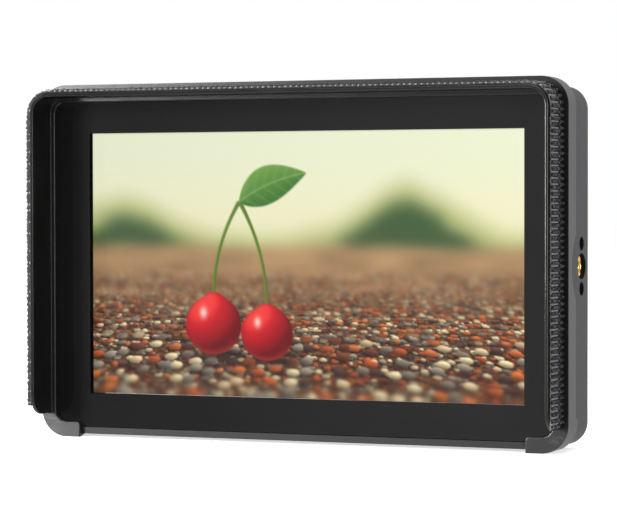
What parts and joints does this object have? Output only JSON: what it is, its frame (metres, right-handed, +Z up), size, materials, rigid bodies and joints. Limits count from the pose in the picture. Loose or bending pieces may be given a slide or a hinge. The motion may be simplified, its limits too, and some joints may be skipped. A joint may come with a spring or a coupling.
{
  "type": "camera field monitor with clip-on sun hood frame",
  "caption": "Flat on-camera display in a slim rounded body, with a clip-on shade frame ringed by hook tape, tripod sockets with anti-twist holes, ports and a rear battery plate.",
  "frame": {"origin": "centre of the mouth of the tripod socket in the bottom face, midway along the body's width", "axes": "-Y out of the picture towards the viewer, +X to the viewer's right along the body's width and out of the side socket, +Z up"},
  "size_m": [0.1484, 0.0383, 0.0941],
  "materials": {
    "shell": "fine satin moulding",
    "cover_glass": "polished dark front glass with a black printed border",
    "hood_plastic": "smooth semi-gloss moulding",
    "hook_tape": "woven nylon base with rows of hooks",
    "adhesive": "thin double-sided tape",
    "foam": "soft closed-cell foam",
    "sheet_steel": "plain sheet",
    "display_cell": "laminated display cell",
    "light_sheet": "clear acrylic sheet",
    "led_white": "lamps on a white strip",
    "tray_white": "white reflector tray",
    "board": "solder mask on laminate",
    "chip": "moulded packages",
    "thermal_pad": "soft pad",
    "spreader": "extruded and milled",
    "flex": "polyimide film cable",
    "flex_socket": "ivory moulding",
    "port_steel": "bright plated sheet",
    "jack": "black moulding",
    "plunger": "white moulding",
    "button": "smooth black moulding",
    "light_pipe": "clear moulding",
    "brass": "machined",
    "screw_black": "black zinc",
    "screw_steel": "bright zinc",
    "plate": "satin black moulding",
    "contact": "gold plated",
    "steel": "ground"
  },
  "bodies": {
    "monitor": {"rear_shell": "shell", "front_bezel": "shell", "cover_glass": "cover_glass", "glass_adhesive": "adhesive", "dust_gasket": "foam", "lcd_frame": "sheet_steel", "lcd_panel": "display_cell", "light_guide": "light_sheet", "led_bar": "led_white", "backlight_tray": "tray_white", "chassis_plate": "sheet_steel", "chassis_screws": "screw_steel", "main_board": "board", "board_screws": "screw_steel", "processor_chips": "chip", "thermal_pad": "thermal_pad", "heat_spreader": "spreader", "display_flex": "flex", "key_flex": "flex", "flex_sockets": "flex_socket", "video_in_port": "port_steel", "video_out_port": "port_steel", "usb_port": "port_steel", "headphone_jack": "jack", "dc_jack": "jack", "key_board": "board", "power_switch": "chip", "status_light_pipe": "light_pipe", "side_insert": "brass", "bottom_insert": "brass", "case_screws": "screw_black", "battery_plate": "plate", "plate_screws": "screw_steel", "contact_block": "plate", "battery_contacts": "contact", "lock_spring": "steel"},
    "hood": {"hood_frame": "hood_plastic", "hook_tape": "hook_tape"},
    "power_key": {"power_button": "button", "switch_plunger": "plunger"},
    "release_slider": {"release_button": "button"},
    "latch_pin": {"lock_pin": "steel"}
  },
  "joints": [
    {"name": "hood_pull", "type": "slide", "parent": "monitor", "child": "hood", "axis": [0, -1, 0], "range_m": [0, 0.03]},
    {"name": "power_press", "type": "slide", "parent": "monitor", "child": "power_key", "axis": [0, 0, -1], "range_m": [0, 0.0005], "stiffness_N_per_m": 800, "springref_m": -0.0008},
    {"name": "release_slide", "type": "slide", "parent": "monitor", "child": "release_slider", "axis": [0, 0, -1], "range_m": [0, 0.0018], "stiffness_N_per_m": 600, "springref_m": -0.001},
    {"name": "pin_retract", "type": "slide", "parent": "monitor", "child": "latch_pin", "axis": [0, -1, 0], "range_m": [0, 0.0018], "stiffness_N_per_m": 600, "springref_m": -0.001, "deforming": ["lock_spring"]}
  ],
  "couplings": [
    {"joint": "pin_retract", "follows": "release_slide", "ratio": 1}
  ]
}
